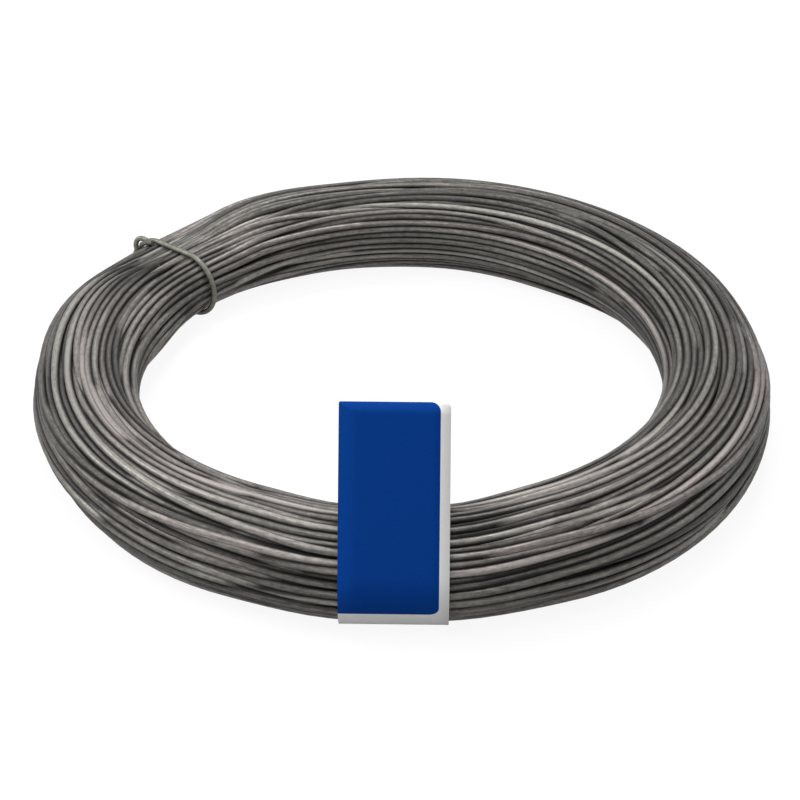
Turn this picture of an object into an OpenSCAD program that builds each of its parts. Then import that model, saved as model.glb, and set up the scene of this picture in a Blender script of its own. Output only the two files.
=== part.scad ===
// Coil of plain annealed steel wire, tied once and carrying a wrap-round card label.
// It lies flat: the origin is on the floor under the middle of the bore, +Z is up and -Y is the front.

/* [Wire] */
// Wire diameter (12 gauge)
wire_d = 2.77; // [1.6:0.01:5]
// Spacing of neighbouring turns along the outside of the bundle
turn_pitch = 2.62; // [1.6:0.01:5]
// Most that a turn sinks between its neighbours
turn_sink = 0.55; // [0:0.05:1.2]

/* [Coil] */
// Outer diameter over the turns
coil_d = 270; // [230:1:400]
// Radial width of the bundle of turns
bundle_w = 39.5; // [32:0.5:60]
// Height of the bundle before it settles on the floor
bundle_h = 33; // [28:0.5:40]
// Radius of the bundle's rounded inner and outer sides
side_r = 15.5; // [8:0.5:18]
// How far the lowest turns have settled and spread on the floor
floor_settle = 1; // [0.3:0.1:2]
// Depth of the worn land under each turn that stands on the floor
floor_land = 0.05; // [0.03:0.01:0.2]

/* [Tie] */
// Diameter of the tie wire (14 gauge)
tie_d = 2.1; // [1.2:0.05:3.5]
// How far the tie's loop lies below the top of the bundle that it pinches
tie_pinch = 4.2; // [0:0.1:5]
// Direction of the tie from the middle of the coil
tie_angle = 141.5; // [100:0.5:170]
// Clear gap between the tie and the turns
tie_gap = 0.15; // [0.05:0.05:0.6]
// Place round the bundle where the tie's ends cross, from its outer side (0) towards its top (90)
lap_place = 45; // [30:1:55]
// Length over which the two ends cross
lap_cross = 6; // [6:0.5:9]
// Length of each end past the crossing, beside the loop
lap_tail = 6; // [2:0.5:8]

/* [Label] */
// Width of the card
label_w = 34; // [20:0.5:60]
// Thickness of the card
label_thick = 0.4; // [0.2:0.05:1]
// Direction of the card from the middle of the coil
label_angle = -91; // [-110:0.5:-70]
// Clear gap between the card and the turns
label_gap = 0.15; // [0.05:0.05:0.6]
// Lean of the flag away from upright, over the coil
flag_lean = 32; // [15:1:45]
// Length of the flag above the shoulder of the coil
flag_l = 53.5; // [45:0.5:90]
// Length above the shoulder over which the two leaves stay apart
flag_open = 30; // [26:1:40]
// Corner radius at the top of the flag
flag_corner_r = 2; // [0.5:0.5:8]

/* [Hidden] */
eps = 0.01;
wire_r = wire_d / 2;
tie_r = tie_d / 2;

// The bundle's section: an oval of four arcs about a point on the mean radius.
half_w = bundle_w / 2;
half_h = bundle_h / 2;
side_fit_r = min(side_r, 0.95 * min(half_w, half_h));
mean_r = coil_d / 2 - half_w;
mid_z = half_h - floor_settle;

// Oval [centre distance of the side arcs, side radius, top radius, drop of the top arc's centre, change angle]
function oval(a, b, r) =
    let (d = a - r, rt = (b * b + d * d - r * r) / (2 * (b - r)))
    [d, r, rt, rt - b, atan2(rt - b, d)];

// Angle brought into 0 to 360
function turn_of(t) = t - 360 * floor(t / 360);

// Point of an oval where its outward normal points at angle t, moved outward by off
function oval_at(o, t, off = 0) =
    let (
        q = turn_of(t),
        side = q <= o[4] || q >= 360 - o[4] ? 1 : abs(q - 180) <= o[4] ? -1 : 0,
        c = side != 0 ? [side * o[0], 0] : [0, q < 180 ? -o[3] : o[3]],
        r = (side != 0 ? o[1] : o[2]) + off
    )
    c + r * [cos(t), sin(t)];

// Length of a quarter of an oval, and of its side arc within that quarter
function quarter_l(o) = (o[1] * o[4] + o[2] * (90 - o[4])) * PI / 180;
function side_l(o) = o[1] * o[4] * PI / 180;

// Normal angle at distance s along the first quarter, then along the whole oval
function quarter_angle(o, s) =
    s < side_l(o) ? s / o[1] * 180 / PI : o[4] + (s - side_l(o)) / o[2] * 180 / PI;
function angle_at(o, s) =
    let (l = quarter_l(o), k = floor(s / l), m = s - k * l)
    k == 0 ? quarter_angle(o, m) :
    k == 1 ? 180 - quarter_angle(o, l - m) :
    k == 2 ? 180 + quarter_angle(o, m) : 360 - quarter_angle(o, l - m);

bundle = oval(half_w, half_h, side_fit_r);
centres = oval(half_w - wire_r, half_h - wire_r, side_fit_r - wire_r);
turn_n = floor(4 * quarter_l(centres) / turn_pitch);
turn_step = 4 * quarter_l(centres) / turn_n;

// Depth of turn i below the outside of the bundle; the turns near the floor don't sink
function sink(i, t) = sin(t) < -0.8 ? 0 : turn_sink * (0.5 + 0.5 * sin(i * 137.5));

// Centre of turn i as [radius, height]
function turn_at(i) =
    let (
        t = angle_at(centres, (i + 0.5) * turn_step),
        p = oval_at(centres, t, -sink(i, t))
    )
    [mean_r + p[0], max(mid_z + p[1], wire_r - floor_land)];

turn_centres = [for (i = [0 : turn_n - 1]) turn_at(i)];

// Loop of the tie: round sides and flat top and bottom, standing on the floor and pinching the bundle
tie_h = bundle_h - floor_settle - tie_pinch;
tie_z = tie_h / 2;
tied_r = min(tie_h / 2 - tie_d - tie_gap, 0.98 * half_w);
tied_reach = half_w - tied_r;
tie_off = tie_r + tie_gap;
loop_r = tied_r + tie_off;

// Where the tie's ends lie side by side: their spacing, and half the crossing and each end as angles
lap_d = tie_d + 0.2;
lap_lift = 1.15;
cross_a = lap_cross / 2 / loop_r * 180 / PI;
lap_top = min(lap_place, 86 - cross_a);
tail_a = min(lap_tail / loop_r * 180 / PI, 88 - lap_top - cross_a);

// Point of the tie as [radius, height, distance along the coil] at angle t of the loop's outer or inner side
function tie_side(t, side, out = 0, along = 0) =
    [mean_r + side * tied_reach + (loop_r + out) * cos(t), tie_z + (loop_r + out) * sin(t), along];

// Crossing at part u of its length: the lower strand, then the one that is lifted over it
function lap_under(u) = tie_side(lap_top + cross_a * u, 1, 0, lap_d * (1 + sin(90 * u)) / 2);
function lap_over(u) =
    tie_side(lap_top + cross_a * u, 1, lap_lift * lap_d * cos(90 * u), lap_d * (1 - sin(90 * u)) / 2);

// Place on the coil of a point [radius, height, distance along the coil]
function on_coil(p) =
    let (t = p[2] / (mean_r + half_w) * 180 / PI)
    [p[0] * cos(t), p[0] * sin(t), p[1]];

tie_path = [
    for (k = [4 : -1 : 1]) on_coil(tie_side(lap_top + cross_a + tail_a * k / 4, 1, 0, lap_d)),
    for (u = [1 : -0.2 : -1.01]) on_coil(lap_under(u)),
    for (k = [1 : 16]) on_coil(tie_side(lap_top - cross_a - (90 + lap_top - cross_a) * k / 16, 1)),
    for (k = [0 : 24]) on_coil(tie_side(270 - 180 * k / 24, -1)),
    for (k = [0 : 4]) on_coil(tie_side(90 - (90 - lap_top - cross_a) * k / 5, 1)),
    for (u = [1 : -0.2 : -1.01]) on_coil(lap_over(u)),
    for (k = [1 : 4]) on_coil(tie_side(lap_top - cross_a - tail_a * k / 4, 1, 0, lap_d))
];

// Card: the loop round the bundle reaches further in, so that its flat back clears the bore's curve
function bow(r) = r - sqrt(r * r - label_w * label_w / 4);
card_reach = bow(mean_r - half_w) + label_gap;
card = oval(half_w + (label_gap + card_reach) / 2, half_h + label_gap, side_fit_r + label_gap);
card_mid = mean_r + (label_gap - card_reach) / 2;
flag_dir = [-sin(flag_lean), cos(flag_lean)];
flag_back = [-cos(flag_lean), -sin(flag_lean)];
fork = oval_at(card, flag_lean) + flag_open * flag_dir;

// Normal angle at which a line from point q meets an arc of centre c and radius r on the bore's side
function touch(q, c, r) = atan2(q[1] - c[1], q[0] - c[0]) + acos(r / norm(q - c));
touch_top = touch(fork, [0, -card[3]], card[2]);
back_angle = touch_top <= 180 - card[4] ? touch_top : touch(fork, [-card[0], 0], card[1]);

// Point where line p + s * u crosses line q + s * v
function crossing(p, u, q, v) =
    let (k = ((q[0] - p[0]) * v[1] - (q[1] - p[1]) * v[0]) / (u[0] * v[1] - u[1] * v[0]))
    p + k * u;

flag_foot = oval_at(card, flag_lean, label_thick);
flag_tip = flag_foot + flag_l * flag_dir;
back_dir = [sin(back_angle), -cos(back_angle)];
flag_seam = crossing(flag_tip + 2 * label_thick * flag_back, flag_dir,
    oval_at(card, back_angle, label_thick), back_dir);

// Round stretch of the card from the back leaf, under the coil, to the front leaf
function card_round(off, low) =
    [for (k = [0 : 56])
        let (p = oval_at(card, back_angle + (360 + flag_lean - back_angle) * k / 56, off))
        [card_mid + p[0], max(mid_z + p[1], low)]];

// Sweep of a round bar along a path, with frames carried from point to point
function unit(v) = v / norm(v);
function heading(p, i) = unit(p[min(i + 1, len(p) - 1)] - p[max(i - 1, 0)]);
function carried(p, i, n) =
    i == len(p) ? [] :
    let (t = heading(p, i), m = unit(n - (n * t) * t))
    concat([m], carried(p, i + 1, m));

module bar(path, r, sides) {
    normals = carried(path, 0, unit(cross(heading(path, 0), [0.31, 0.17, 0.94])));
    points = [
        for (i = [0 : len(path) - 1])
        let (m = normals[i], b = cross(heading(path, i), m))
        for (k = [0 : sides - 1])
        path[i] + r * (cos(360 * k / sides) * m + sin(360 * k / sides) * b)
    ];
    last = (len(path) - 1) * sides;
    polyhedron(points, concat(
        [[for (k = [0 : sides - 1]) k]],
        [for (i = [0 : len(path) - 2]) for (k = [0 : sides - 1])
            let (n = (k + 1) % sides)
            [i * sides + n, i * sides + k, (i + 1) * sides + k, (i + 1) * sides + n]],
        [[for (k = [sides - 1 : -1 : 0]) last + k]]
    ));
}

// The turns as one turned body: round outer turns about a full core
module wire_coil() {
    color([0.30, 0.28, 0.26])
    difference() {
        rotate_extrude($fn = 120)
        union() {
            polygon(turn_centres);
            for (c = turn_centres)
                translate(c)
                circle(r = wire_r, $fn = 24);
        }
        translate([-coil_d, -coil_d, -2 * wire_d])
        cube([2 * coil_d, 2 * coil_d, 2 * wire_d]);
        tie_room();
        // Room under the coil for the card
        rotate([0, 0, label_angle])
        translate([mean_r - half_w, -label_w / 2 - label_gap, -1])
        cube([bundle_w, label_w + 2 * label_gap, 1 + label_thick + label_gap]);
    }
}

// What lies outside the tie's loop, in the bundle's section
module outside_tie() {
    difference() {
        translate([mean_r - half_w - wire_d, -1])
        square([bundle_w + 2 * wire_d, bundle_h + 2]);
        for (side = [-1, 1])
            translate([mean_r + side * tied_reach, tie_z])
            circle(r = tied_r, $fn = 96);
        translate([mean_r - tied_reach, tie_z - tied_r])
        square([2 * tied_reach, 2 * tied_r]);
    }
}

// Slot that the tie has pressed into the turns, wider where its ends lie side by side
module tie_room() {
    spare = tie_off / loop_r * 180 / PI;
    low = lap_top - cross_a - tail_a - spare;
    high = lap_top + cross_a + tail_a + spare;
    rotate([0, 0, tie_angle])
    rotate([90, 0, 0]) {
        linear_extrude(height = 2 * tie_off, center = true)
        outside_tie();
        translate([0, 0, -lap_d - tie_off])
        linear_extrude(height = lap_d + tie_off)
        intersection() {
            outside_tie();
            translate([mean_r + tied_reach, tie_z])
            polygon(concat([[0, 0]], [for (k = [0 : 8])
                let (t = low + (high - low) * k / 8)
                bundle_w * [cos(t), sin(t)]]));
        }
    }
}

// Thin wire looped once round the bundle, its ends crossed and laid side by side on the outer shoulder
module tie_wire() {
    color([0.36, 0.37, 0.34])
    rotate([0, 0, tie_angle])
    bar(tie_path, tie_r, 10);
}

// Card strip folded round the bundle, its ends joined into a flag that leans over the coil
module label_card() {
    color([0.10, 0.24, 0.50])
    rotate([0, 0, label_angle])
    intersection() {
        rotate([90, 0, 0])
        linear_extrude(height = label_w, center = true)
        difference() {
            polygon(concat(
                card_round(label_thick, 0),
                [[card_mid, mid_z] + flag_tip,
                 [card_mid, mid_z] + flag_tip + 2 * label_thick * flag_back,
                 [card_mid, mid_z] + flag_seam]
            ));
            polygon(concat(card_round(0, label_thick), [[card_mid, mid_z] + fork]));
        }
        translate([0, 0, -1])
        rotate([90, 0, 90])
        linear_extrude(height = coil_d)
        label_front();
    }
}

// Front view of the card, with rounded corners at the top of the flag
module label_front() {
    top = 1 + mid_z + flag_tip[1];
    union() {
        translate([-label_w / 2, 0])
        square([label_w, top - flag_corner_r]);
        translate([-label_w / 2 + flag_corner_r, 0])
        square([label_w - 2 * flag_corner_r, top]);
        for (s = [-1, 1])
            translate([s * (label_w / 2 - flag_corner_r), top - flag_corner_r])
            circle(r = flag_corner_r, $fn = 32);
    }
}

wire_coil();
tie_wire();
label_card();
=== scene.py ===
"""Coil of annealed wire: every turn, the tie and the card label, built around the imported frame."""

import math

import bmesh
import bpy
import numpy as np
from bpy.props import FloatProperty, FloatVectorProperty, IntProperty, PointerProperty
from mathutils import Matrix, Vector


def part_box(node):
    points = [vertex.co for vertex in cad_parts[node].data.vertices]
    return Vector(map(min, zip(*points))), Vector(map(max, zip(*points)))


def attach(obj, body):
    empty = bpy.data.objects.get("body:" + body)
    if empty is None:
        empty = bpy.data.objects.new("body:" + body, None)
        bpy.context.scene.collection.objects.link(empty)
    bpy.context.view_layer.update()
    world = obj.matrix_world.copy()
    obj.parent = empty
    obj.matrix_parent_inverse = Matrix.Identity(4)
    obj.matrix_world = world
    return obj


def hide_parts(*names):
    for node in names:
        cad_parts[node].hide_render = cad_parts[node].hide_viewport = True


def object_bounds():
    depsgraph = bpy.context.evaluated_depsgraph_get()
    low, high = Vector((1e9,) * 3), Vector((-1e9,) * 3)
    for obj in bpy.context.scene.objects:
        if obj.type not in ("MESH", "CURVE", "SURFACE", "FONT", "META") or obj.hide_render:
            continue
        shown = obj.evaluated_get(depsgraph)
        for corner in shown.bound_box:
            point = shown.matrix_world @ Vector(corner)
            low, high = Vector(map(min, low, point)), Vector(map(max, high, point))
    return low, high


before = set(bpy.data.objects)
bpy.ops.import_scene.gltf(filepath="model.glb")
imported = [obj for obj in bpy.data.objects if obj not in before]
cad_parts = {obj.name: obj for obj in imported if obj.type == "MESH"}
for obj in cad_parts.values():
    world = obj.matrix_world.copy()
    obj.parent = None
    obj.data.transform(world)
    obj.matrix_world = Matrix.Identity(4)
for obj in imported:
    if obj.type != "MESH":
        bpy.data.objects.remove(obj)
CAD_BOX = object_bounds()
COIL_LOW, COIL_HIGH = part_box("wire_coil")

bl_info = {
    "name": "Annealed Wire Coil",
    "version": (1, 0, 0),
    "blender": (4, 5, 0),
    "location": "View3D > Sidebar > Wire Coil",
    "description": "Builds a tied and labelled coil of annealed wire around its packed frame",
    "category": "Object",
}

IMAGE_PX = 800
SENSOR_MM = 36.0
FULL_TURN = 2 * math.pi

# Attributes that the wires carry: distance along the wire, and closeness of the next turn, which the
# material paints as shade in the crevices
RUN = "wire_run"
CREVICE = "crevice"

# Settling of the turns: smoothing steps and push in a pass, the part of the passes that press outward,
# and the pull back to the lay in those; then the last, smoother passes, and the smoothing of the fans
EASE_STEPS = 4
PUSH = 0.42
PRESSING_PART = 0.7
LAY_PULL = 0.02
LAST_PASSES = 4
LAST_EASE_STEPS = 14
LAST_PUSH = 0.3
FAN_EASE_STEPS = 5

# Painted shade in the crevices between turns, in wire diameters: turns nested closer than this make
# none, and how far the painted shade of one reaches
NESTED = 0.76
CREVICE_REACH = 0.56


# Settings


class CoilSettings(bpy.types.PropertyGroup):
    """Sizes and lay of the bundle of turns."""

    wire_d: FloatProperty(
        name="Wire Diameter", description="Diameter of the drawn wire",
        default=0.00277, min=0.001, unit="LENGTH")
    outer_d: FloatProperty(
        name="Outer Diameter", description="Diameter over the turns",
        default=COIL_HIGH.x - COIL_LOW.x, min=0.1, unit="LENGTH")
    bundle_w: FloatProperty(
        name="Bundle Width", description="Radial width of the plain bundle",
        default=0.0395, min=0.02, unit="LENGTH")
    bundle_h: FloatProperty(
        name="Bundle Height", description="Height of the plain bundle before it settles",
        default=0.033, min=0.02, unit="LENGTH")
    side_r: FloatProperty(
        name="Side Radius", description="Radius of the rounded inner and outer sides",
        default=0.0155, min=0.005, unit="LENGTH")
    floor_settle: FloatProperty(
        name="Floor Settle", description="How far the lowest turns have spread on the floor",
        default=0.001, min=0.0, unit="LENGTH")
    lay_r: FloatProperty(
        name="Lay Radius", description="Mean radius of the turns",
        default=0.1145, min=0.05, unit="LENGTH")
    lay_w: FloatProperty(
        name="Lay Width", description="Mean width that the turns take up",
        default=0.0393, min=0.02, unit="LENGTH")
    lay_h: FloatProperty(
        name="Lay Height", description="Mean height that the turns take up",
        default=0.0334, min=0.02, unit="LENGTH")
    lay_power: FloatProperty(
        name="Lay Power", description="Fullness of the section: 2 is an ellipse, more is squarer",
        default=2.3, min=2.0, max=6.0)
    widening: FloatProperty(
        name="Widening", description="Extra half width on one side of the coil",
        default=0.0006, unit="LENGTH")
    widening_at: FloatProperty(
        name="Widening Direction", description="Side where the bundle is wider",
        default=math.radians(5), subtype="ANGLE")
    spread: FloatProperty(
        name="Spread", description="Extra half width on two opposite sides of the coil",
        default=0.00096, unit="LENGTH")
    spread_at: FloatProperty(
        name="Spread Direction", description="Direction of the two wider sides",
        default=math.radians(-26.7), subtype="ANGLE")
    swell: FloatProperty(
        name="Swell", description="Extra half height on one side of the coil",
        default=0.00103, unit="LENGTH")
    swell_at: FloatProperty(
        name="Swell Direction", description="Side where the bundle is higher",
        default=math.radians(15), subtype="ANGLE")
    hump: FloatProperty(
        name="Hump", description="Extra half height on two opposite sides of the coil",
        default=0.00074, unit="LENGTH")
    hump_at: FloatProperty(
        name="Hump Direction", description="Direction of the two higher sides",
        default=math.radians(75), subtype="ANGLE")
    lay_pitch: FloatProperty(
        name="Lay Pitch", description="Spacing of neighbouring turns when they are laid",
        default=0.00254, min=0.001, unit="LENGTH")
    wander: FloatProperty(
        name="Wander", description="How far a turn strays from its place in the lay",
        default=0.0042, min=0.0, unit="LENGTH")
    wander_knots: IntProperty(
        name="Wander Knots", description="Changes of stray along one turn", default=4, min=1, max=12)
    nesting: FloatProperty(
        name="Nesting",
        description="Least spacing that settling aims for, in diameters; turns can end closer",
        default=0.78, min=0.5, max=1.0)
    sink: FloatProperty(
        name="Sink", description="How far turns stay below the outside of the bundle",
        default=0.0012, min=0.0, unit="LENGTH")
    press: FloatProperty(
        name="Press", description="Outward push of the springy turns in each settling pass",
        default=0.00003, min=0.0, unit="LENGTH")
    stations: IntProperty(
        name="Stations", description="Points along one turn", default=120, min=48, max=360)
    passes: IntProperty(
        name="Settling Passes", description="Passes in which the turns push each other apart",
        default=150, min=10, max=600)
    seed: IntProperty(name="Seed", description="Start of the random lay", default=12)


class TieSettings(bpy.types.PropertyGroup):
    """Sizes of the wire that holds the bundle."""

    wire_d: FloatProperty(
        name="Tie Diameter", description="Diameter of the tie wire",
        default=0.0021, min=0.0005, unit="LENGTH")
    angle: FloatProperty(
        name="Tie Direction", description="Direction of the tie from the middle of the coil",
        default=math.radians(141.5), subtype="ANGLE")
    pinch: FloatProperty(
        name="Tie Pinch", description="How far the loop lies below the top of the plain bundle",
        default=0.0042, min=0.0, unit="LENGTH")
    gap: FloatProperty(
        name="Tie Gap", description="Gap between the tie and the outermost turns",
        default=0.00015, min=0.0, unit="LENGTH")
    lap_place: FloatProperty(
        name="Lap Place", description="Place where the ends cross, from the outer side towards the top",
        default=math.radians(45), subtype="ANGLE")
    lap_cross: FloatProperty(
        name="Lap Crossing", description="Length over which the two ends cross",
        default=0.006, min=0.003, unit="LENGTH")
    lap_tail: FloatProperty(
        name="Lap Tail", description="Length of each end past the crossing, beside the loop",
        default=0.006, min=0.0, unit="LENGTH")
    lap_lift: FloatProperty(
        name="Lap Lift", description="Lift of the upper end at the crossing, in strand spacings",
        default=1.15, min=1.0)


class CardSettings(bpy.types.PropertyGroup):
    """Sizes and print of the card label."""

    width: FloatProperty(
        name="Card Width", description="Width of the card strip",
        default=0.034, min=0.01, unit="LENGTH")
    thickness: FloatProperty(
        name="Card Thickness", description="Thickness of one leaf",
        default=0.0004, min=0.0001, unit="LENGTH")
    angle: FloatProperty(
        name="Card Direction", description="Direction of the card from the middle of the coil",
        default=math.radians(-91), subtype="ANGLE")
    gap: FloatProperty(
        name="Card Gap", description="Gap between the card and the turns",
        default=0.00015, min=0.0, unit="LENGTH")
    lean: FloatProperty(
        name="Flag Lean", description="Lean of the flag over the coil",
        default=math.radians(32), subtype="ANGLE")
    flag_l: FloatProperty(
        name="Flag Length", description="Length of the flag above the shoulder of the coil",
        default=0.0535, min=0.02, unit="LENGTH")
    flag_open: FloatProperty(
        name="Open Length", description="Length over which the two leaves stay apart",
        default=0.030, min=0.01, unit="LENGTH")
    corner_r: FloatProperty(
        name="Corner Radius", description="Radius of the corners on the margin side of the flag",
        default=0.002, min=0.0002, unit="LENGTH")
    cut_corner_r: FloatProperty(
        name="Cut Corner Radius", description="Radius of the corners on the cut side of the flag",
        default=0.0006, min=0.0002, unit="LENGTH")
    side_margin: FloatProperty(
        name="Side Margin", description="White margin beside the printed block",
        default=0.0031, min=0.0, unit="LENGTH")
    print_l: FloatProperty(
        name="Printed Length", description="Length of the printed block from the top of the flag",
        default=0.0662, min=0.01, unit="LENGTH")
    print_corner_r: FloatProperty(
        name="Printed Corner", description="Corner radius of the printed block on its margin side",
        default=0.003, min=0.0, unit="LENGTH")
    ink: FloatVectorProperty(
        name="Ink", description="Colour of the printed block",
        default=(0.0024, 0.049, 0.281), subtype="COLOR", min=0.0, max=1.0)
    stock: FloatVectorProperty(
        name="Card Stock", description="Colour of the bare card",
        default=(0.95, 0.95, 0.94), subtype="COLOR", min=0.0, max=1.0)


class StageSettings(bpy.types.PropertyGroup):
    """Camera and studio light."""

    camera_distance: FloatProperty(
        name="Camera Distance", description="Distance from the middle of the coil",
        default=0.6625, min=0.1, unit="LENGTH")
    camera_elevation: FloatProperty(
        name="Camera Elevation", description="Height of the camera as an angle",
        default=math.radians(32.12), subtype="ANGLE")
    aim_tilt: FloatProperty(
        name="Aim Tilt", description="Extra downward tilt that sets the coil in the frame",
        default=math.radians(1.035), subtype="ANGLE")
    aim_pan: FloatProperty(
        name="Aim Pan", description="Sideways turn that sets the coil in the frame",
        default=math.radians(-0.04), subtype="ANGLE")
    focal_px: FloatProperty(
        name="Focal Length", description="Focal length in pixels of the square frame",
        default=1807.7, min=100.0)
    left_power: FloatProperty(
        name="Left Power", description="Power of the softbox on the left",
        default=6.0, subtype="POWER")
    right_power: FloatProperty(
        name="Right Power", description="Power of the softbox on the right",
        default=1.6, subtype="POWER")
    back_power: FloatProperty(
        name="Back Power", description="Power of the softbox behind",
        default=7.0, subtype="POWER")
    front_power: FloatProperty(
        name="Front Power", description="Power of the softbox high in front",
        default=3.7, subtype="POWER")
    world_level: FloatProperty(
        name="World Level", description="Strength of the even light around", default=0.28, min=0.0)


# Shared shapes


class Oval:
    """Oval of four arcs with half width a, half height b and side radius r."""

    def __init__(self, a, b, r):
        self.reach = a - r
        self.side_r = r
        self.top_r = (b * b + self.reach ** 2 - r * r) / (2 * (b - r))
        self.drop = self.top_r - b
        self.change = math.atan2(self.drop, self.reach)

    def at(self, angle, off=0.0):
        """Point whose outward normal points at the angle, moved outward by off."""
        c, s = math.cos(angle), math.sin(angle)
        if abs(math.atan2(s, c)) <= self.change:
            centre, r = (self.reach, 0.0), self.side_r
        elif abs(math.atan2(s, -c)) <= self.change:
            centre, r = (-self.reach, 0.0), self.side_r
        else:
            centre, r = (0.0, -self.drop if s > 0 else self.drop), self.top_r
        return centre[0] + (r + off) * c, centre[1] + (r + off) * s


class Bundle:
    """The plain bundle's section and the tie's loop round it, from the settings."""

    def __init__(self, coil, tie):
        self.half_w = coil.bundle_w / 2
        self.half_h = coil.bundle_h / 2
        self.mean_r = coil.outer_d / 2 - self.half_w
        self.mid_z = self.half_h - coil.floor_settle
        self.side_r = coil.side_r
        self.oval = Oval(self.half_w, self.half_h, coil.side_r)
        self.tie_z = (coil.bundle_h - coil.floor_settle - tie.pinch) / 2
        self.tied_r = self.tie_z - tie.wire_d - tie.gap
        self.tied_reach = self.half_w - self.tied_r

    def tied_at(self, angle, off=0.0):
        """Point of the tie's loop, round at the sides and flat between them."""
        c, s = math.cos(angle), math.sin(angle)
        side = self.tied_reach if c > 0 else -self.tied_reach
        return side + (self.tied_r + off) * c, (self.tied_r + off) * s


def reach_table(section_at, off, count=240, cuts=20):
    """Directions from the middle of a section, and the reach of the moved section along each."""
    corners = np.array([section_at(FULL_TURN * (k + 0.5) / count, off) for k in range(count)])
    sides = np.roll(corners, -1, 0) - corners
    parts = np.linspace(0, 1 - 1 / cuts, cuts)[:, None]
    points = (corners[:, None] + sides[:, None] * parts).reshape(-1, 2)
    angles = np.arctan2(points[:, 1], points[:, 0])
    order = np.argsort(angles)
    return angles[order], np.hypot(points[:, 0], points[:, 1])[order]


def show(obj, material, node):
    """Links a finished piece, gives it its material, and sets it in place of its CAD node."""
    if obj.name not in bpy.context.scene.collection.objects:
        bpy.context.scene.collection.objects.link(obj)
    obj.data.materials.clear()
    obj.data.materials.append(material)
    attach(obj, "root")
    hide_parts(node)


def ring_sides(resolution):
    """Number of sides of a wire with a curve's bevel resolution."""
    return 2 * (resolution + 2)


def wire_mesh(name, points, diameter, resolution):
    """Round wire along an open run of points, with closed ends, as a mesh object."""
    curve = bpy.data.curves.new(name + "_run", "CURVE")
    curve.dimensions = "3D"
    curve.twist_mode = "MINIMUM"
    curve.bevel_depth = diameter / 2
    curve.bevel_resolution = resolution
    curve.use_fill_caps = True
    spline = curve.splines.new("POLY")
    spline.points.add(len(points) - 1)
    flat = np.ones((len(points), 4))
    flat[:, :3] = points
    spline.points.foreach_set("co", flat.ravel())
    spline.use_smooth = True
    run = bpy.data.objects.new(name + "_run", curve)
    bpy.context.scene.collection.objects.link(run)
    depsgraph = bpy.context.evaluated_depsgraph_get()
    mesh = bpy.data.meshes.new_from_object(run.evaluated_get(depsgraph))
    mesh.name = name
    bpy.data.objects.remove(run)
    bpy.data.curves.remove(curve)
    mesh.materials.clear()
    return bpy.data.objects.new(name, mesh)


# The lay of the turns


def full_reach(angle, half_w, half_h, power):
    """Reach of a full oval along an angle from its middle."""
    across = np.abs(np.cos(angle) / half_w) ** power + np.abs(np.sin(angle) / half_h) ** power
    return across ** (-1 / power)


def laid_places(coil):
    """Places of the turns in the section, row by row from the outer top, to and fro."""
    half_w, half_h = (coil.lay_w - coil.wire_d) / 2, (coil.lay_h - coil.wire_d) / 2
    row_h = coil.lay_pitch * math.sqrt(3) / 2
    rows = int(2 * half_h / row_h) + 1
    places = []
    for row in range(rows):
        w = (rows - 1) * row_h / 2 - row * row_h
        shift = 0.5 if row % 2 else 0.0
        count = int(half_w / coil.lay_pitch) + 1
        line = [((k + shift) * coil.lay_pitch, w) for k in range(-count, count + 1)]
        line = [
            (u, w) for u, w in line
            if math.hypot(u, w) <= full_reach(math.atan2(w, u), half_w, half_h, coil.lay_power)]
        places += line if row % 2 else line[::-1]
    return np.array(places)


def smooth_noise(rng, count, step, width):
    """Random values along the wire that change slowly, in two directions."""
    knots = rng.normal(size=(count // step + 4, 2))
    knots = (np.roll(knots, 1, 0) + 2 * knots + np.roll(knots, -1, 0)) / 2.45
    at = np.arange(count) / step
    low = at.astype(int)
    part = (at - low)[:, None]
    part = part * part * (3 - 2 * part)
    return width * (knots[low] * (1 - part) + knots[low + 1] * part)


def near(azimuth, centre, half_flat, ramp):
    """1 close to a direction of the coil, falling smoothly to 0."""
    away = np.abs((azimuth - centre + math.pi) % FULL_TURN - math.pi)
    part = np.clip((half_flat + ramp - away) / ramp, 0.0, 1.0)
    return part * part * (3 - 2 * part)


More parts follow.
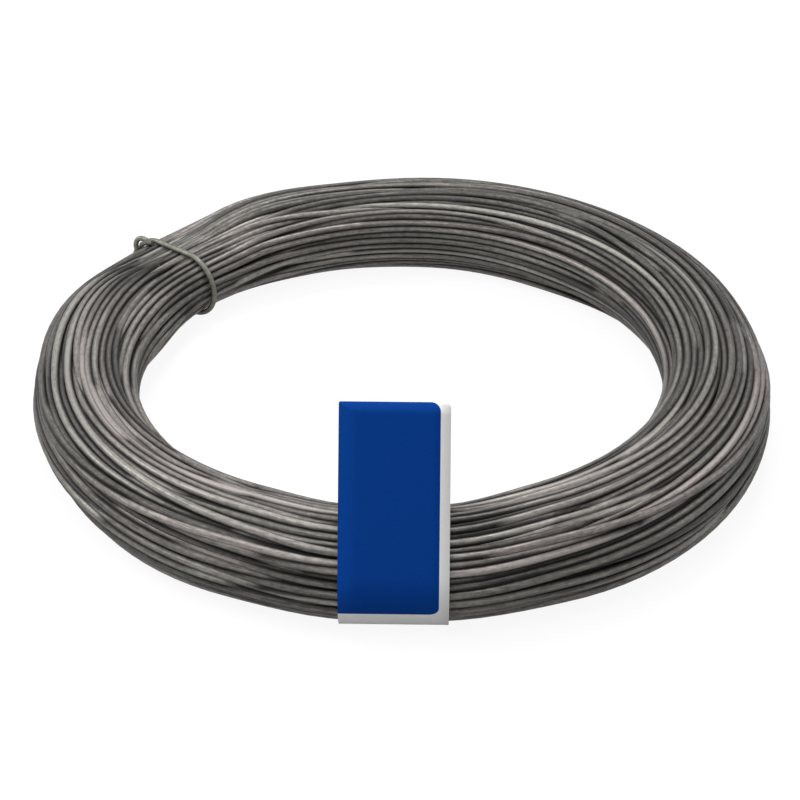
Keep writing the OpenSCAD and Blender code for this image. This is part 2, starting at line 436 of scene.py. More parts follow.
class Envelope:
    """The room that the turns fill: fuller and lower by turns, drawn in under the tie and the card."""

    # Each as (direction of the coil, half length and direction in the section in degrees; size)
    dents = (
        (6, 28, 20, 0.0026),
        (100, 36, 90, 0.0020),
        (176, 30, 25, 0.0009),
        (-10, 24, 180, 0.0014),
    )
    fans = (
        (232, 36, -45, 0.0026),
        (-52, 42, -45, 0.0030),
        (158, 26, 220, 0.0045),
        (122, 20, 220, 0.0016),
        (90, 62, 220, 0.0024),
        (52, 30, 220, 0.0022),
        (168, 24, 62, 0.0036),
        (120, 18, 65, 0.0020),
    )
    # Round the coil, in radians: half length of the full hold of the tie and past the card's edge, and
    # the run-out beyond it; then the same for the turns that are lifted by what passes under them
    tie_hold, tie_runout = 0.09, 0.25
    card_hold, card_runout = 0.01, 0.28
    tie_lift_hold, tie_lift_runout = 0.01, 0.16
    card_lift_runout = 0.10

    def __init__(self, bundle, coil, tie, card, azimuth):
        self.wire_r, self.power = coil.wire_d / 2, coil.lay_power
        self.half_w = (
            coil.lay_w / 2 + coil.widening * np.cos(azimuth - coil.widening_at)
            + coil.spread * np.cos(2 * (azimuth - coil.spread_at)))
        self.half_h = (
            coil.lay_h / 2 + coil.swell * np.cos(azimuth - coil.swell_at)
            + coil.hump * np.cos(2 * (azimuth - coil.hump_at)))
        card_half = card.width / 2 / bundle.mean_r
        self.tied = near(azimuth, tie.angle, self.tie_hold, self.tie_runout)
        self.carded = near(azimuth, card.angle, card_half + self.card_hold, self.card_runout)
        self.free = 1 - self.tied - self.carded
        self.middle_r = self.free * coil.lay_r + (1 - self.free) * bundle.mean_r
        self.middle_z = (
            self.free * self.half_h + self.tied * bundle.tie_z + self.carded * bundle.mid_z)
        self.tied_table = reach_table(bundle.tied_at, -self.wire_r)
        self.card_table = reach_table(bundle.oval.at, -self.wire_r)
        over_tie = near(azimuth, tie.angle, self.tie_lift_hold, self.tie_lift_runout)
        over_card = near(azimuth, card.angle, card_half, self.card_lift_runout)
        lift = np.maximum(
            over_tie * (tie.wire_d + 2 * tie.gap), over_card * (card.thickness + card.gap))
        self.floor = self.wire_r + lift - self.middle_z
        self.sink = 0.0
        self.azimuth = azimuth

    def grown(self, angle, table):
        """Reach that the places of a table add, at angles [station, turn] in the section."""
        extra = np.zeros(angle.shape)
        for at, length, towards, size in table:
            share = self.free * near(self.azimuth, math.radians(at), 0.0, math.radians(length))
            facing = np.clip(np.cos(angle - math.radians(towards)), 0.0, None)
            extra += share[:, None] * size * facing ** 2
        return extra

    def keep(self, spots):
        """Brings the turns' centres [station, turn, (outward, up)] back into the room."""
        angle = np.arctan2(spots[..., 1], spots[..., 0])
        half_w, half_h = self.half_w - self.wire_r, self.half_h - self.wire_r
        reach = self.free[:, None] * full_reach(angle, half_w[:, None], half_h[:, None], self.power)
        for share, table in ((self.tied, self.tied_table), (self.carded, self.card_table)):
            at = share > 0
            reach[at] += share[at, None] * np.interp(angle[at], *table, period=FULL_TURN)
        reach -= self.grown(angle, self.dents) + self.free[:, None] * self.sink
        size = np.hypot(spots[..., 0], spots[..., 1])
        spots *= np.minimum(1.0, reach / np.maximum(size, 1e-9))[..., None]
        spots[..., 1] = np.maximum(spots[..., 1], self.floor[:, None])
        return spots

    def fanned(self, course, turns):
        """The settled course spread apart where the bundle lies loose."""
        spots = course.reshape(turns, -1, 2).transpose(1, 0, 2)
        angle = np.arctan2(spots[..., 1], spots[..., 0])
        reach = full_reach(angle, self.half_w[:, None], self.half_h[:, None], self.power)
        spots = spots * (1 + self.grown(angle, self.fans) / reach)[..., None]
        return spots.transpose(1, 0, 2).reshape(-1, 2).copy()


def eased(course, times):
    """The wire's course smoothed by its stiffness: points move towards their neighbours' middle."""
    for _ in range(times):
        course[1:-1] = (course[:-2] + 2 * course[1:-1] + course[2:]) / 4
    return course


def pushed_apart(course, turns, apart_d, part, press, room):
    """One pass in which touching turns push apart, spring outward by press and stay in their room."""
    spots = course.reshape(turns, -1, 2).transpose(1, 0, 2)
    apart = spots[:, :, None, :] - spots[:, None, :, :]
    distance = np.sqrt((apart ** 2).sum(-1)) + np.eye(turns) + 1e-9
    push = np.clip(apart_d - distance, 0.0, None) / distance
    spots = spots + part * (apart * push[..., None]).sum(2)
    if press:
        size = np.hypot(spots[..., 0], spots[..., 1]) + 1e-9
        spots *= (1 + press / size)[..., None]
    return room.keep(spots).transpose(1, 0, 2).reshape(-1, 2).copy()


def settled_turns(bundle, coil, tie, card):
    """Courses of all turns as points of the one wire, and the number of turns."""
    rng = np.random.default_rng(coil.seed)
    places = laid_places(coil)
    turns, stations = len(places), coil.stations
    azimuth = card.angle + FULL_TURN * np.arange(stations) / stations
    room = Envelope(bundle, coil, tie, card, azimuth)
    run = np.arange(turns * stations) / stations
    low = np.minimum(run.astype(int), turns - 1)
    part = (run - low)[:, None]
    lay = places[low] * (1 - part) + places[np.minimum(low + 1, turns - 1)] * part
    lay = lay + smooth_noise(rng, len(run), stations // coil.wander_knots, coil.wander)
    course = lay.copy()
    own_d = coil.wire_d * (coil.nesting + (1 - coil.nesting) * rng.random(turns))
    apart_d = (own_d[:, None] + own_d[None, :]) / 2
    depth = np.abs(smooth_noise(rng, len(run), stations // 2, coil.sink))[:, 0]
    room.sink = depth.reshape(turns, stations).T
    for step in range(coil.passes):
        course = eased(course, EASE_STEPS)
        pressing = step < PRESSING_PART * coil.passes
        if pressing:
            course += LAY_PULL * (lay - course)
        course = pushed_apart(course, turns, apart_d, PUSH, coil.press if pressing else 0.0, room)
    for _ in range(LAST_PASSES):
        course = eased(course, LAST_EASE_STEPS)
        course = pushed_apart(course, turns, apart_d, LAST_PUSH, 0.0, room)
    course = eased(room.fanned(course, turns), FAN_EASE_STEPS)
    angle = np.tile(azimuth, turns)
    radius = np.tile(room.middle_r, turns) + course[:, 0]
    height = np.tile(room.middle_z, turns) + np.maximum(course[:, 1], np.tile(room.floor, turns))
    return np.stack([radius * np.cos(angle), radius * np.sin(angle), height], -1), turns


# Finishes


def new_material(name):
    """Material with an empty node tree but for its shader and output."""
    material = bpy.data.materials.new(name)
    material.use_nodes = True
    nodes = material.node_tree.nodes
    nodes.clear()
    shader = nodes.new("ShaderNodeBsdfPrincipled")
    output = nodes.new("ShaderNodeOutputMaterial")
    material.node_tree.links.new(shader.outputs["BSDF"], output.inputs["Surface"])
    return material, material.node_tree, shader


def math_node(tree, operation, first, second=None, third=None):
    """Math node; each operand is a socket or a number."""
    node = tree.nodes.new("ShaderNodeMath")
    node.operation = operation
    for socket, value in zip(node.inputs, (first, second, third)):
        if value is None:
            continue
        if isinstance(value, bpy.types.NodeSocket):
            tree.links.new(value, socket)
        else:
            socket.default_value = value
    return node.outputs[0]


def mix_colour(tree, factor, first, second, blend="MIX"):
    """Mix node for colours; each operand is a socket or a colour."""
    node = tree.nodes.new("ShaderNodeMix")
    node.data_type = "RGBA"
    node.blend_type = blend
    for socket, value in ((node.inputs[0], factor), (node.inputs[6], first), (node.inputs[7], second)):
        if isinstance(value, bpy.types.NodeSocket):
            tree.links.new(value, socket)
        elif socket.type == "RGBA":
            socket.default_value = (*value, 1.0)
        else:
            socket.default_value = value
    return node.outputs[2]


def noise(tree, vector, scale, detail=2.0, roughness=0.5):
    """Noise texture's value along a vector socket."""
    node = tree.nodes.new("ShaderNodeTexNoise")
    node.inputs["Scale"].default_value = scale
    node.inputs["Detail"].default_value = detail
    node.inputs["Roughness"].default_value = roughness
    tree.links.new(vector, node.inputs["Vector"])
    return node.outputs["Fac"]


def noise_along(tree, length, scale):
    """Slow noise's value along a length socket."""
    node = tree.nodes.new("ShaderNodeTexNoise")
    node.noise_dimensions = "1D"
    node.inputs["Scale"].default_value = scale
    node.inputs["Detail"].default_value = 1.0
    tree.links.new(length, node.inputs["W"])
    return node.outputs["Fac"]


def hypot_node(tree, first, second):
    """Length of the hypotenuse over two sockets."""
    squares = [math_node(tree, "MULTIPLY", side, side) for side in (first, second)]
    return math_node(tree, "SQRT", math_node(tree, "ADD", *squares))


def set_bump(tree, shader, height, strength, depth):
    """Bump of a height socket on a shader."""
    bump = tree.nodes.new("ShaderNodeBump")
    bump.inputs["Strength"].default_value = strength
    bump.inputs["Distance"].default_value = depth
    tree.links.new(height, bump.inputs["Height"])
    tree.links.new(bump.outputs["Normal"], shader.inputs["Normal"])


def attribute(tree, name):
    """Value socket of an attribute of the mesh."""
    node = tree.nodes.new("ShaderNodeAttribute")
    node.attribute_name = name
    return node.outputs["Fac"]


def span(tree, value, low, high, to_low=0.0, to_high=1.0):
    """Map Range node from low..high to to_low..to_high, clamped."""
    node = tree.nodes.new("ShaderNodeMapRange")
    node.inputs["From Min"].default_value = low
    node.inputs["From Max"].default_value = high
    node.inputs["To Min"].default_value = to_low
    node.inputs["To Max"].default_value = to_high
    tree.links.new(value, node.inputs["Value"])
    return node.outputs["Result"]


def oxide_and_crevice_shade_group():
    """Oxide on drawn wire: streaks along the wire, a tone for each turn, drawing lines, and painted
    shade in crevices.
    """
    found = bpy.data.node_groups.get("drawn_oxide")
    if found:
        return found
    group = bpy.data.node_groups.new("drawn_oxide", "ShaderNodeTree")
    for in_out, kind, names in (
            ("INPUT", "Vector", ("Around",)), ("INPUT", "Float", ("Along", "Tone", "Crevice")),
            ("INPUT", "Color", ("Dark", "Body", "Bright")),
            ("OUTPUT", "Color", ("Color",)), ("OUTPUT", "Float", ("Roughness", "Height"))):
        for name in names:
            group.interface.new_socket(name, in_out=in_out, socket_type="NodeSocket" + kind)
    source = group.nodes.new("NodeGroupInput").outputs
    result = group.nodes.new("NodeGroupOutput").inputs
    split = group.nodes.new("ShaderNodeSeparateXYZ")
    group.links.new(source["Around"], split.inputs[0])

    def stretched(along, across):
        joined = group.nodes.new("ShaderNodeCombineXYZ")
        group.links.new(math_node(group, "MULTIPLY", source["Along"], along), joined.inputs[0])
        for axis, out in ((1, "Y"), (2, "Z")):
            group.links.new(
                math_node(group, "MULTIPLY", split.outputs[out], across), joined.inputs[axis])
        return joined.outputs[0]

    streaks = noise(group, stretched(14.0, 520.0), 1.0, 4.0, 0.6)
    lines = noise(group, stretched(80.0, 1900.0), 1.0, 3.0, 0.65)
    scale = noise(group, stretched(420.0, 900.0), 1.0, 3.0, 0.65)
    tone = math_node(group, "ADD", span(group, streaks, 0.3, 0.7, -0.20, 0.20), source["Tone"])
    tone = math_node(group, "ADD", tone, span(group, lines, 0.3, 0.7, -0.24, 0.24))
    tone = math_node(group, "ADD", tone, span(group, scale, 0.4, 0.75, 0.10, -0.28))
    body = mix_colour(group, span(group, tone, 0.0, 0.5), source["Dark"], source["Body"])
    colour = mix_colour(group, span(group, tone, 0.5, 1.0), body, source["Bright"])
    # Painted shade: the crevices where turns touch are mixed to near black.
    painted_crevice_shade = math_node(group, "MULTIPLY", source["Crevice"], 0.96)
    colour = mix_colour(group, painted_crevice_shade, colour, (0.003, 0.003, 0.003))
    group.links.new(colour, result["Color"])
    dull = span(group, tone, 0.0, 1.0, 0.46, 0.30)
    dull = math_node(group, "ADD", dull, math_node(group, "MULTIPLY", source["Crevice"], 0.3))
    group.links.new(dull, result["Roughness"])
    height = math_node(group, "ADD", lines, math_node(group, "MULTIPLY", scale, 0.8))
    group.links.new(height, result["Height"])
    return group


def wire_material(name, dark, body, bright):
    """Annealed wire: dull oxide over steel, streaked along the wire; painted shade in crevices and at
    edges.
    """
    material, tree, shader = new_material(name)
    place = tree.nodes.new("ShaderNodeTexCoord").outputs["Object"]
    split = tree.nodes.new("ShaderNodeSeparateXYZ")
    tree.links.new(place, split.inputs[0])
    around = tree.nodes.new("ShaderNodeCombineXYZ")
    tree.links.new(hypot_node(tree, split.outputs["X"], split.outputs["Y"]), around.inputs[1])
    tree.links.new(split.outputs["Z"], around.inputs[2])
    run = attribute(tree, RUN)
    oxide = tree.nodes.new("ShaderNodeGroup")
    oxide.node_tree = oxide_and_crevice_shade_group()
    tree.links.new(run, oxide.inputs["Along"])
    tree.links.new(around.outputs[0], oxide.inputs["Around"])
    tone = span(tree, noise_along(tree, run, 3.1), 0.3, 0.7, 0.05, 0.95)
    tree.links.new(tone, oxide.inputs["Tone"])
    tree.links.new(attribute(tree, CREVICE), oxide.inputs["Crevice"])
    for socket, colour in (("Dark", dark), ("Body", body), ("Bright", bright)):
        oxide.inputs[socket].default_value = (*colour, 1.0)
    # A cooler and a warmer cast along the wire, and painted shade that darkens the wire where it turns
    # away from the view
    cast = noise_along(tree, math_node(tree, "ADD", run, 40.0), 2.3)
    tint = mix_colour(
        tree, span(tree, cast, 0.35, 0.65), (0.982, 0.994, 0.944), (1.028, 0.981, 0.971))
    colour = mix_colour(tree, 1.0, oxide.outputs["Color"], tint, "MULTIPLY")
    rim = tree.nodes.new("ShaderNodeLayerWeight")
    rim.inputs["Blend"].default_value = 0.5
    shade = span(tree, rim.outputs["Facing"], 0.30, 0.90, 0.0, 0.88)
    colour = mix_colour(tree, shade, colour, tuple(0.4 * c for c in dark))
    tree.links.new(colour, shader.inputs["Base Color"])
    tree.links.new(oxide.outputs["Roughness"], shader.inputs["Roughness"])
    set_bump(tree, shader, oxide.outputs["Height"], 0.26, 0.00012)
    shader.inputs["Metallic"].default_value = 0.12
    shader.inputs["Specular IOR Level"].default_value = 0.16
    return material


def set_crevice(obj, sides, low, points, stations, wire_d):
    """Stores how close each wire vertex lies to the next turn, 1 touching, 0 clear, for painted shade.
    """
    mesh = obj.data
    spots = np.stack([np.hypot(points[:, 0], points[:, 1]), points[:, 2]], -1)
    flat = np.empty(len(mesh.vertices) * 3)
    mesh.vertices.foreach_get("co", flat)
    flat = flat.reshape(-1, 3)
    rings = len(flat) // sides
    ring = np.stack([np.hypot(flat[:, 0], flat[:, 1]), flat[:, 2]], -1)[:rings * sides]
    ring = ring.reshape(rings, sides, 2)
    place = np.minimum(low + np.arange(rings), len(spots) - 1)
    gap = np.full((rings, sides), 1.0)
    turns = len(spots) // stations
    for station in range(stations):
        mine = np.nonzero(place % stations == station)[0]
        others = spots[station::stations][:turns]
        away = np.linalg.norm(ring[mine][:, :, None, :] - others[None, None], axis=-1)
        between = np.linalg.norm(spots[place[mine]][:, None, :] - others[None], axis=-1)
        away = np.where(between[:, None, :] < NESTED * wire_d, 1.0, away)
        gap[mine] = away.min(-1) - wire_d / 2
    part = np.clip(1 - gap / (CREVICE_REACH * wire_d), 0.0, 1.0)
    values = np.zeros(len(mesh.vertices), dtype=np.float32)
    values[:rings * sides] = (part * part * (3 - 2 * part)).ravel()
    layer = mesh.attributes.new(CREVICE, "FLOAT", "POINT")
    layer.data.foreach_set("value", values)


def run_lengths(points):
    """Distance of each point along a wire."""
    return np.concatenate([[0.0], np.cumsum(np.linalg.norm(np.diff(points, axis=0), axis=1))])


def set_run(obj, sides, lengths):
    """Stores, on each vertex of a wire, its distance along the wire in metres."""
    mesh = obj.data
    values = np.repeat(np.asarray(lengths, dtype=np.float32), sides)
    values = np.resize(values, len(mesh.vertices))
    layer = mesh.attributes.new(RUN, "FLOAT", "POINT")
    layer.data.foreach_set("value", values)


# Pieces


class COIL_OT_turns(bpy.types.Operator):
    """Lay the turns of the coil and let them settle against each other"""

    bl_idname = "wire_coil.turns"
    bl_label = "Turns"

    pieces = ("turns_top", "turns_upper", "turns_lower", "turns_bottom")
    resolution = 6
    # Dark, body and bright tone of the oxide
    tones = (0.070, 0.067, 0.064), (0.194, 0.183, 0.174), (0.396, 0.376, 0.361)

    def execute(self, context):
        coil, tie, card = (
            context.scene.coil_settings, context.scene.tie_settings, context.scene.card_settings)
        points, turns = settled_turns(Bundle(coil, tie), coil, tie, card)
        length = run_lengths(points)
        count = len(self.pieces)
        cuts = [coil.stations * (turns * k // count) for k in range(count)] + [len(points) - 1]
        material = wire_material("annealed_wire", *self.tones)
        sides = ring_sides(self.resolution)
        for name, low, high in zip(self.pieces, cuts, cuts[1:]):
            piece = wire_mesh(name, points[low:high + 1], coil.wire_d, self.resolution)
            set_run(piece, sides, length[low:high + 1])
            set_crevice(piece, sides, low, points, coil.stations, coil.wire_d)
            show(piece, material, "wire_coil")
        return {"FINISHED"}


class COIL_OT_tie(bpy.types.Operator):
    """Loop the tie wire round the bundle and cross its ends on the outer shoulder"""

    bl_idname = "wire_coil.tie"
    bl_label = "Tie"

    resolution = 5
    strand_gap = 0.0002
    # Dark, body and bright tone of the oxide
    tones = (0.067, 0.067, 0.055), (0.150, 0.150, 0.124), (0.267, 0.267, 0.233)

    def execute(self, context):
        coil, tie = context.scene.coil_settings, context.scene.tie_settings
        bundle = Bundle(coil, tie)
        points = np.array([self.on_coil(p, bundle, tie) for p in self.course(bundle, tie)])
        piece = wire_mesh("tie_loop", points, tie.wire_d, self.resolution)
        set_run(piece, ring_sides(self.resolution), run_lengths(points))
        show(piece, wire_material("tie_wire", *self.tones), "tie_wire")
        return {"FINISHED"}

    def course(self, bundle, tie):
        """The tie's points as (radius, height, distance along the coil)."""
        loop_r = bundle.tied_r + tie.wire_d / 2 + tie.gap
        spacing = tie.wire_d + self.strand_gap
        half = tie.lap_cross / 2 / loop_r
        tail = tie.lap_tail / loop_r
        top = tie.lap_place

        def at(angle, side=1, out=0.0, along=0.0):
            return (bundle.mean_r + side * bundle.tied_reach + (loop_r + out) * math.cos(angle),
                    bundle.tie_z + (loop_r + out) * math.sin(angle), along)

        def under(u):
            return at(top + half * u, along=spacing * (1 + math.sin(math.pi / 2 * u)) / 2)

        def over(u):
            return at(top + half * u, out=tie.lap_lift * spacing * math.cos(math.pi / 2 * u),
                      along=spacing * (1 - math.sin(math.pi / 2 * u)) / 2)

        def swept(low, high, count, **place):
            return [at(low + (high - low) * k / count, **place) for k in range(1, count + 1)]

        quarter, steps = math.pi / 2, 12
        down = [1 - k / steps for k in range(2 * steps + 1)]
        course = swept(top + half + tail, top + half, 8, along=spacing)[:-1]
        course += [under(u) for u in down]
        course += swept(top - half, -quarter, 40)
        course += swept(3 * quarter, quarter, 60, side=-1)
        course += swept(quarter, top + half, 10)[:-1]
        course += [over(u) for u in down]
        course += swept(top - half, top - half - tail, 8, along=spacing)
        return course

    def on_coil(self, point, bundle, tie):
        """Place of a tie point on the coil."""
        radius, height, along = point
        a = tie.angle + along / (bundle.mean_r + bundle.half_w)
        return radius * math.cos(a), radius * math.sin(a), height


class COIL_OT_card(bpy.types.Operator):
    """Fold the card strip round the bundle and join its ends into a flag"""

    bl_idname = "wire_coil.card"
    bl_label = "Card"

    across = 6
    corner_segments = 6

    def execute(self, context):
        card = context.scene.card_settings
        bundle = Bundle(context.scene.coil_settings, context.scene.tie_settings)
        piece = bpy.data.objects.new("card_strip", self.strip(self.profile(bundle, card), card))
        body = piece.modifiers.new("leaf", "SOLIDIFY")
        body.thickness = card.thickness
        body.offset = 0.0
        show(piece, self.material(card), "label_card")
        return {"FINISHED"}

    def strip(self, profile, card):
        """Mesh of the folded strip, with its flat layout as a UV map in metres and rounded corners."""
        outward = Vector((math.cos(card.angle), math.sin(card.angle), 0))
        sideways = Vector((-math.sin(card.angle), math.cos(card.angle), 0))
        origin = -sideways * card.width / 2
        run = run_lengths(np.array(profile))

        bm = bmesh.new()
        line = [bm.verts.new(outward * u + Vector((0, 0, w)) + origin) for u, w in profile]
        made = [bm.edges.new(pair) for pair in zip(line, line[1:])]
        for _ in range(self.across):
            out = bmesh.ops.extrude_edge_only(bm, edges=made)["geom"]
            verts = [g for g in out if isinstance(g, bmesh.types.BMVert)]
            made = [
                g for g in out
                if isinstance(g, bmesh.types.BMEdge) and all(v in verts for v in g.verts)]
            bmesh.ops.translate(bm, verts=verts, vec=sideways * card.width / self.across)
        bm.verts.index_update()
        layer = bm.loops.layers.uv.new("card")
        from_edge = {v: (v.co - origin).dot(sideways) for v in bm.verts}
        for face in bm.faces:
            for loop in face.loops:
                loop[layer].uv = (from_edge[loop.vert], run[loop.vert.index % len(profile)])
        corners = [v for v in bm.verts if len(v.link_faces) == 1]
        for cut, radius in ((True, card.cut_corner_r), (False, card.corner_r)):
            bmesh.ops.bevel(
                bm, geom=[v for v in corners if (from_edge[v] < card.width / 2) == cut],
                offset=radius, affect="VERTICES", segments=self.corner_segments, profile=0.5,
                material=-1, offset_type="OFFSET")
        bmesh.ops.recalc_face_normals(bm, faces=bm.faces)
        mesh = bpy.data.meshes.new("card_strip")
        bm.to_mesh(mesh)
        bm.free()
        for polygon in mesh.polygons:
            polygon.use_smooth = True
        return mesh

    def profile(self, bundle, card):
        """Middle line of the strip as (outward, up): down the front, under, and up the back."""
        bore_r = bundle.mean_r - bundle.half_w
        reach = bore_r - math.sqrt(bore_r ** 2 - card.width ** 2 / 4) + card.gap
        half_w = bundle.half_w + (card.gap + reach) / 2
        loop = Oval(half_w, bundle.half_h + card.gap, bundle.side_r + card.gap)
        middle = bundle.mean_r + (card.gap - reach) / 2
        half_t = card.thickness / 2
        rise = (-math.sin(card.lean), math.cos(card.lean))
        back = (-math.cos(card.lean), -math.sin(card.lean))

        def along(point, length, step):
            return point[0] + length * step[0], point[1] + length * step[1]

        def between(start, end, parts):
            return [
                (start[0] + (end[0] - start[0]) * i / parts, start[1] + (end[1] - start[1]) * i / parts)
                for i in range(parts)]

        fork = along(loop.at(card.lean), card.flag_open, rise)

        def touch(centre, r):
            du, dw = fork[0] - centre[0], fork[1] - centre[1]
            return math.atan2(dw, du) + math.acos(r / math.hypot(du, dw))

        leave = touch((0.0, -loop.drop), loop.top_r)
        if leave > math.pi - loop.change:
            leave = touch((-loop.reach, 0.0), loop.side_r)

        foot = loop.at(card.lean, half_t)
        tip = along(foot, card.flag_l, rise)
        back_tip = along(tip, card.thickness * 1.02, back)
        behind = loop.at(leave, half_t)
        lift = (math.sin(leave), -math.cos(leave))
        cross = rise[0] * lift[1] - rise[1] * lift[0]
        k = ((behind[0] - back_tip[0]) * lift[1] - (behind[1] - back_tip[1]) * lift[0]) / cross
        seam = along(back_tip, k, rise)

        points = between(tip, foot, 14)
        bends = 64
        for i in range(bends + 1):
            a = card.lean + (leave - FULL_TURN - card.lean) * i / bends
            u, w = loop.at(a, half_t)
            points.append((u, max(w, half_t - bundle.mid_z)))
        points += between(behind, seam, 6)[1:] + between(seam, back_tip, 8) + [back_tip]
        return [(middle + u, bundle.mid_z + w) for u, w in points]

    def material(self, card):
        """White card with a printed block that stops short of one side, with rounded corners there."""
        material, tree, shader = new_material("printed_card")
        place = tree.nodes.new("ShaderNodeUVMap")
        place.uv_map = "card"
        split = tree.nodes.new("ShaderNodeSeparateXYZ")
        tree.links.new(place.outputs[0], split.inputs[0])
        across, down = split.outputs["X"], split.outputs["Y"]
        right = card.width - card.side_margin
        r = card.print_corner_r
        # Distance outside the block, rounded on its right-hand corners
        over_x = math_node(tree, "MAXIMUM", math_node(tree, "SUBTRACT", across, right - r), 0.0)
        half = card.print_l / 2
        over_y = math_node(tree, "ABSOLUTE", math_node(tree, "SUBTRACT", down, half))
        over_y = math_node(tree, "MAXIMUM", math_node(tree, "SUBTRACT", over_y, half - r), 0.0)
        soft = 0.00006
        inked = span(tree, hypot_node(tree, over_x, over_y), r - soft, r + soft, 1.0, 0.0)
        fibre_at = tree.nodes.new("ShaderNodeTexCoord").outputs["Object"]
        fibre = noise(tree, fibre_at, 900.0, 4.0, 0.6)
        stock = mix_colour(tree, span(tree, fibre, 0.3, 0.7, 0.0, 0.5), card.stock,
                           tuple(c * 0.97 for c in card.stock))
        ink = mix_colour(tree, span(tree, fibre, 0.35, 0.75, 0.0, 0.5), card.ink,
                         tuple(c * 0.86 for c in card.ink))
        tree.links.new(mix_colour(tree, inked, stock, ink), shader.inputs["Base Color"])
        tree.links.new(span(tree, fibre, 0.3, 0.7, 0.62, 0.72), shader.inputs["Roughness"])
        shader.inputs["Specular IOR Level"].default_value = 0.03
        set_bump(tree, shader, fibre, 0.08, 0.0001)
        return material


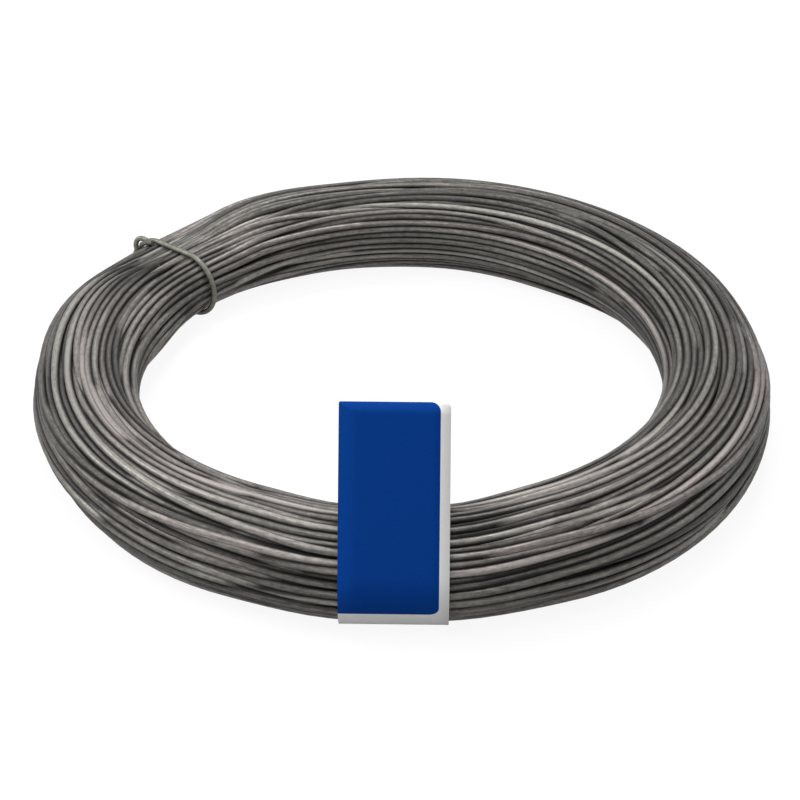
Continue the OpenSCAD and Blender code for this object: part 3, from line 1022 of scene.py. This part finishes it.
class COIL_OT_stage(bpy.types.Operator):
    """Set the floor, the studio light and the camera"""

    bl_idname = "wire_coil.stage"
    bl_label = "Stage"

    # Each softbox as (name, size, place, target)
    lamps = (
        ("left", 0.5, (-0.90, 0.10, 0.74), (0, 0, 0)),
        ("right", 0.5, (0.90, 0.25, 0.70), (0, 0, 0)),
        ("back", 0.35, (0.10, 0.55, 1.15), (0, 0.05, 0)),
        ("front", 0.6, (-0.20, -0.28, 0.85), (0, 0, 0)),
    )
    white = (1.0, 1.0, 1.0, 1.0)
    floor_size = 6.0
    floor_drop = 0.0002
    floor_grey = (0.40, 0.40, 0.40, 1.0)
    # Glow of the floor as it is seen, and its part in the mix with the lit floor
    glow_level = 1.22
    glow_part = 0.75

    def execute(self, context):
        stage = context.scene.stage_settings
        self.floor()
        self.world(context.scene, stage)
        for name, size, place, target in self.lamps:
            self.lamp(name, getattr(stage, name + "_power"), size, place, target)
        self.camera(context.scene, stage)
        context.scene.view_settings.view_transform = "Standard"
        return {"FINISHED"}

    def floor(self):
        """Pale floor that shows white to the camera but keeps the coil's shadow."""
        bm = bmesh.new()
        bmesh.ops.create_grid(bm, x_segments=1, y_segments=1, size=self.floor_size)
        mesh = bpy.data.meshes.new("floor")
        bm.to_mesh(mesh)
        bm.free()
        floor = bpy.data.objects.new("floor", mesh)
        bpy.context.scene.collection.objects.link(floor)
        floor.location.z = CAD_BOX[0].z - self.floor_drop
        material, tree, shader = new_material("pale_floor")
        shader.inputs["Base Color"].default_value = self.floor_grey
        shader.inputs["Roughness"].default_value = 0.9
        shader.inputs["Specular IOR Level"].default_value = 0.0
        glow = tree.nodes.new("ShaderNodeEmission")
        glow.inputs["Color"].default_value = self.white
        glow.inputs["Strength"].default_value = self.glow_level
        mix = tree.nodes.new("ShaderNodeMixShader")
        tree.links.new(math_node(tree, "MULTIPLY", self.seen(tree), self.glow_part), mix.inputs[0])
        tree.links.new(shader.outputs["BSDF"], mix.inputs[1])
        tree.links.new(glow.outputs[0], mix.inputs[2])
        output = next(n for n in tree.nodes if n.type == "OUTPUT_MATERIAL")
        tree.links.new(mix.outputs[0], output.inputs["Surface"])
        mesh.materials.append(material)

    def seen(self, tree):
        """1 for what the camera sees, by itself, in a reflection or through glass."""
        path = tree.nodes.new("ShaderNodeLightPath").outputs
        either = math_node(tree, "MAXIMUM", path["Is Camera Ray"], path["Is Glossy Ray"])
        return math_node(tree, "MAXIMUM", either, path["Is Transmission Ray"])

    def world(self, scene, stage):
        """Even light, seen as white behind the coil."""
        world = bpy.data.worlds.new("studio")
        world.use_nodes = True
        tree = world.node_tree
        tree.nodes.clear()
        even = tree.nodes.new("ShaderNodeBackground")
        even.inputs["Color"].default_value = self.white
        even.inputs["Strength"].default_value = stage.world_level
        white = tree.nodes.new("ShaderNodeBackground")
        white.inputs["Color"].default_value = self.white
        mix = tree.nodes.new("ShaderNodeMixShader")
        output = tree.nodes.new("ShaderNodeOutputWorld")
        tree.links.new(self.seen(tree), mix.inputs[0])
        tree.links.new(even.outputs[0], mix.inputs[1])
        tree.links.new(white.outputs[0], mix.inputs[2])
        tree.links.new(mix.outputs[0], output.inputs[0])
        scene.world = world

    def lamp(self, name, power, size, place, target):
        """Square softbox at a place, aimed at a target."""
        light = bpy.data.lights.new(name, "AREA")
        light.energy = power
        light.size = size
        lamp = bpy.data.objects.new(name, light)
        lamp.location = place
        aim = Vector(target) - Vector(place)
        lamp.rotation_euler = aim.to_track_quat("-Z", "Y").to_euler()
        bpy.context.scene.collection.objects.link(lamp)

    def camera(self, scene, stage):
        """Camera in front of the coil, at the photograph's height and framing."""
        data = bpy.data.cameras.new("camera")
        data.sensor_width = SENSOR_MM
        data.lens = stage.focal_px * SENSOR_MM / IMAGE_PX
        camera = bpy.data.objects.new("camera", data)
        middle = Vector((0, 0, COIL_HIGH.z / 2))
        e = stage.camera_elevation
        camera.location = middle + stage.camera_distance * Vector((0, -math.cos(e), math.sin(e)))
        tilt = e + stage.aim_tilt
        aim = Vector((
            math.sin(stage.aim_pan) * math.cos(tilt), math.cos(stage.aim_pan) * math.cos(tilt),
            -math.sin(tilt)))
        camera.rotation_euler = aim.to_track_quat("-Z", "Y").to_euler()
        scene.collection.objects.link(camera)
        scene.camera = camera


class COIL_PT_panel(bpy.types.Panel):
    """Steps that build the coil"""

    bl_idname = "COIL_PT_panel"
    bl_label = "Wire Coil"
    bl_space_type = "VIEW_3D"
    bl_region_type = "UI"
    bl_category = "Wire Coil"

    def draw(self, context):
        for operator in OPERATORS:
            self.layout.operator(operator.bl_idname)


SETTINGS = {
    "coil_settings": CoilSettings,
    "tie_settings": TieSettings,
    "card_settings": CardSettings,
    "stage_settings": StageSettings,
}
OPERATORS = (COIL_OT_turns, COIL_OT_tie, COIL_OT_card, COIL_OT_stage)
CLASSES = (*SETTINGS.values(), *OPERATORS, COIL_PT_panel)


def register():
    for cls in CLASSES:
        bpy.utils.register_class(cls)
    for name, cls in SETTINGS.items():
        setattr(bpy.types.Scene, name, PointerProperty(type=cls))


def unregister():
    for name in SETTINGS:
        delattr(bpy.types.Scene, name)
    for cls in reversed(CLASSES):
        bpy.utils.unregister_class(cls)


def main():
    register()
    bpy.ops.wire_coil.stage()
    bpy.ops.wire_coil.turns()
    bpy.ops.wire_coil.tie()
    bpy.ops.wire_coil.card()


if __name__ == "__main__":
    main()
